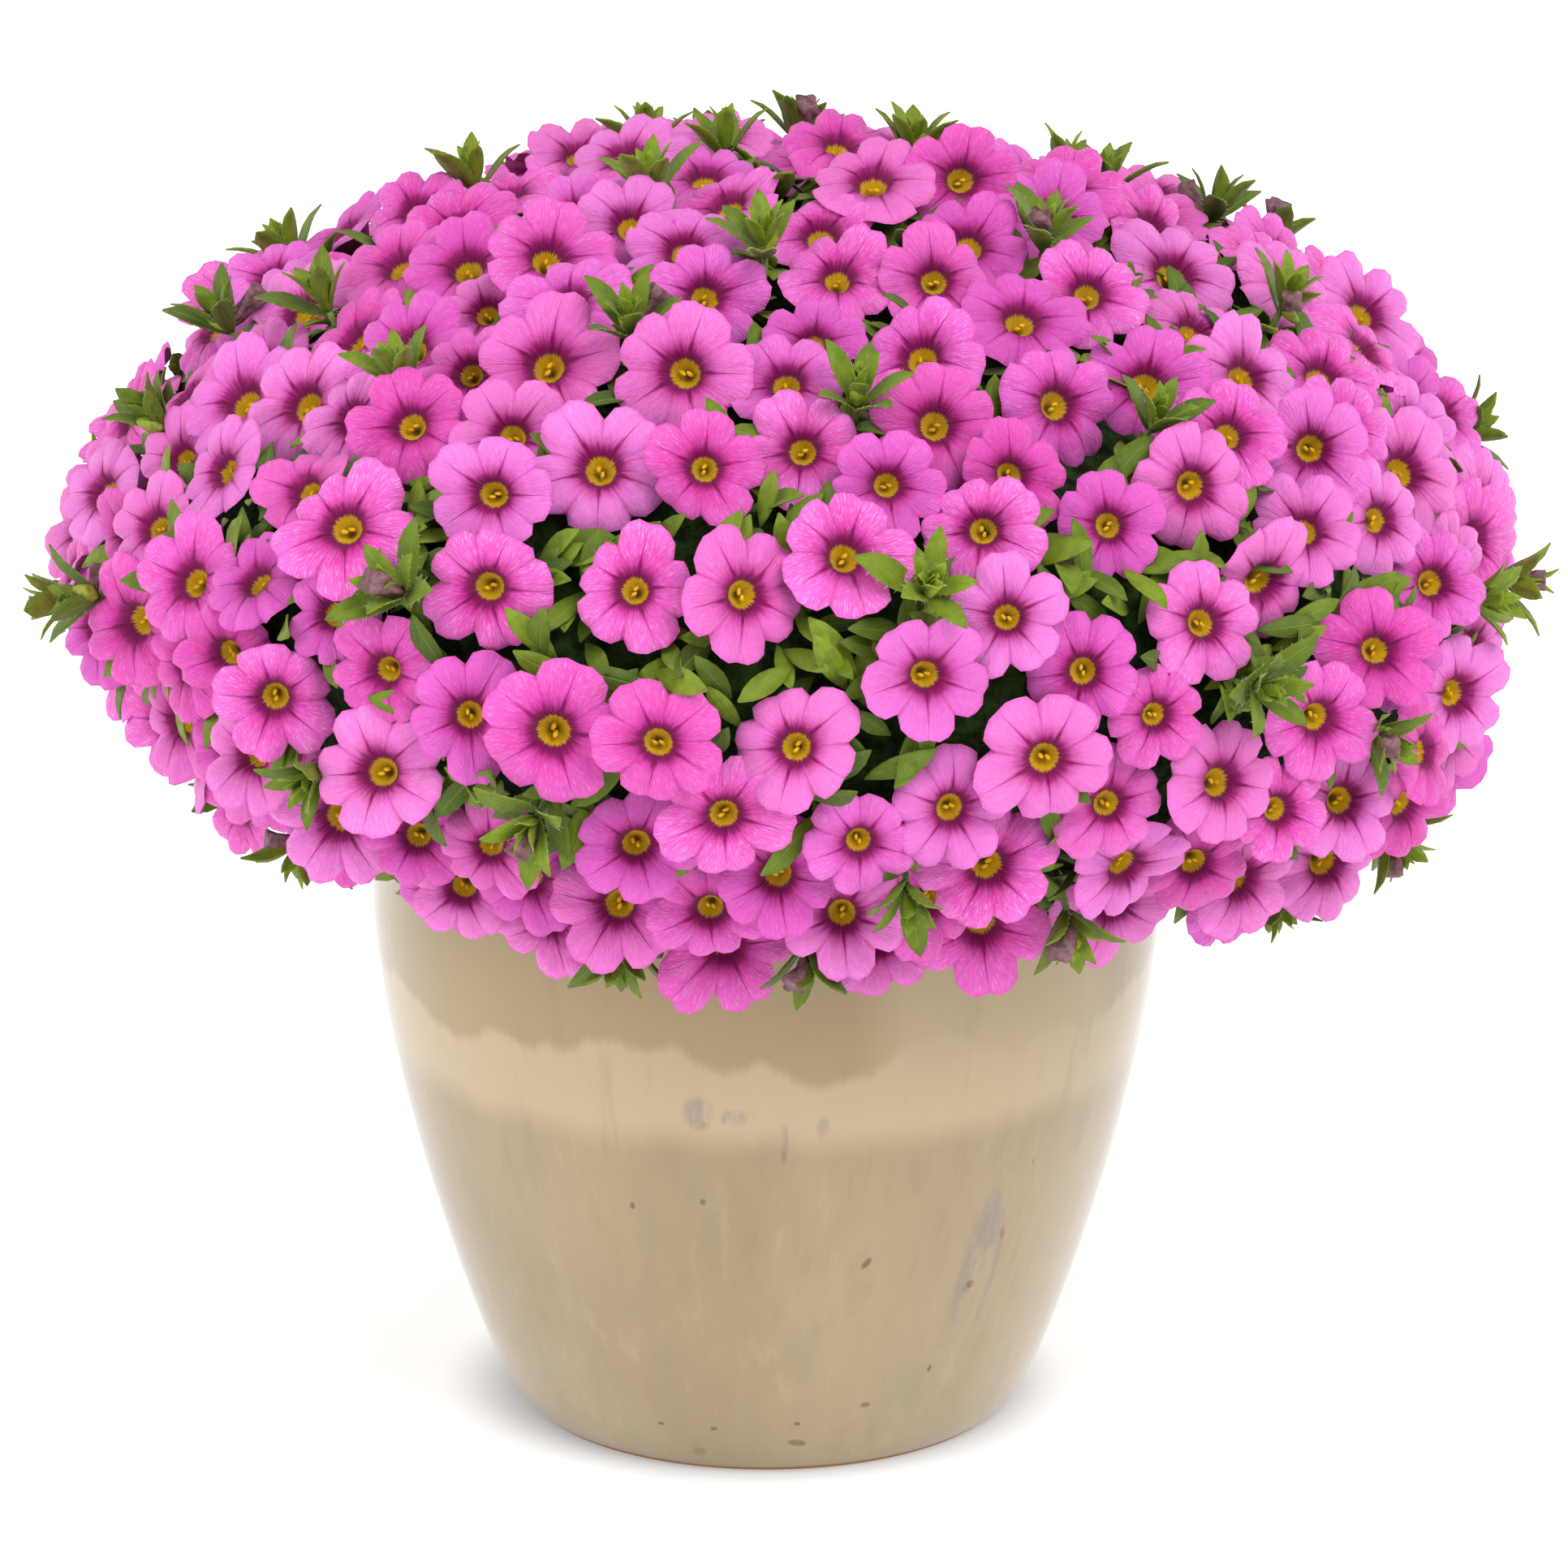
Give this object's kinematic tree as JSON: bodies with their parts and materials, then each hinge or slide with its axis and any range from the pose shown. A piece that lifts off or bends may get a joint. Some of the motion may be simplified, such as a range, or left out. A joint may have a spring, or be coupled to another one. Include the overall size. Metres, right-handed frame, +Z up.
{
  "type": "potted flowering plant",
  "caption": "Wide mound of pink funnel-shaped blooms and small leaves, hanging over a round glazed ceramic pot filled with soil.",
  "frame": {"origin": "centre of the pot's flat foot, on the surface it stands on", "axes": "+Z up along the pot's axis, -Y towards the front of the picture, +X to its right"},
  "size_m": [0.4033, 0.4028, 0.3564],
  "materials": {
    "glazed_ceramic": "glossy cream to beige glaze with faint streaks and a few brown pits",
    "soil": "dark crumbly potting soil",
    "stem": "green to brown woody stem",
    "leaf": "soft matt leaf with fine hairs",
    "petal": "silky pink petal, dark ring and yellow throat"
  },
  "bodies": {
    "root": {"crown": "stem", "pot": "glazed_ceramic", "shoulder_1_blooms": "petal", "shoulder_1_leaves": "leaf", "shoulder_2_blooms": "petal", "shoulder_2_leaves": "leaf", "shoulder_3_blooms": "petal", "shoulder_3_leaves": "leaf", "shoulder_4_blooms": "petal", "shoulder_4_leaves": "leaf", "shoulder_5_blooms": "petal", "shoulder_5_leaves": "leaf", "shoulder_6_blooms": "petal", "shoulder_6_leaves": "leaf", "shoulder_7_blooms": "petal", "shoulder_7_leaves": "leaf", "skirt_1_blooms": "petal", "skirt_1_leaves": "leaf", "skirt_2_blooms": "petal", "skirt_2_leaves": "leaf", "skirt_3_blooms": "petal", "skirt_3_leaves": "leaf", "skirt_4_blooms": "petal", "skirt_4_leaves": "leaf", "skirt_5_blooms": "petal", "skirt_5_leaves": "leaf", "skirt_6_blooms": "petal", "skirt_6_leaves": "leaf", "skirt_7_blooms": "petal", "skirt_7_leaves": "leaf", "skirt_8_blooms": "petal", "skirt_8_leaves": "leaf", "soil": "soil", "top_1_blooms": "petal", "top_1_leaves": "leaf", "top_2_blooms": "petal", "top_2_leaves": "leaf", "top_3_blooms": "petal", "top_3_leaves": "leaf", "top_4_blooms": "petal", "top_4_leaves": "leaf"}
  },
  "joints": []
}
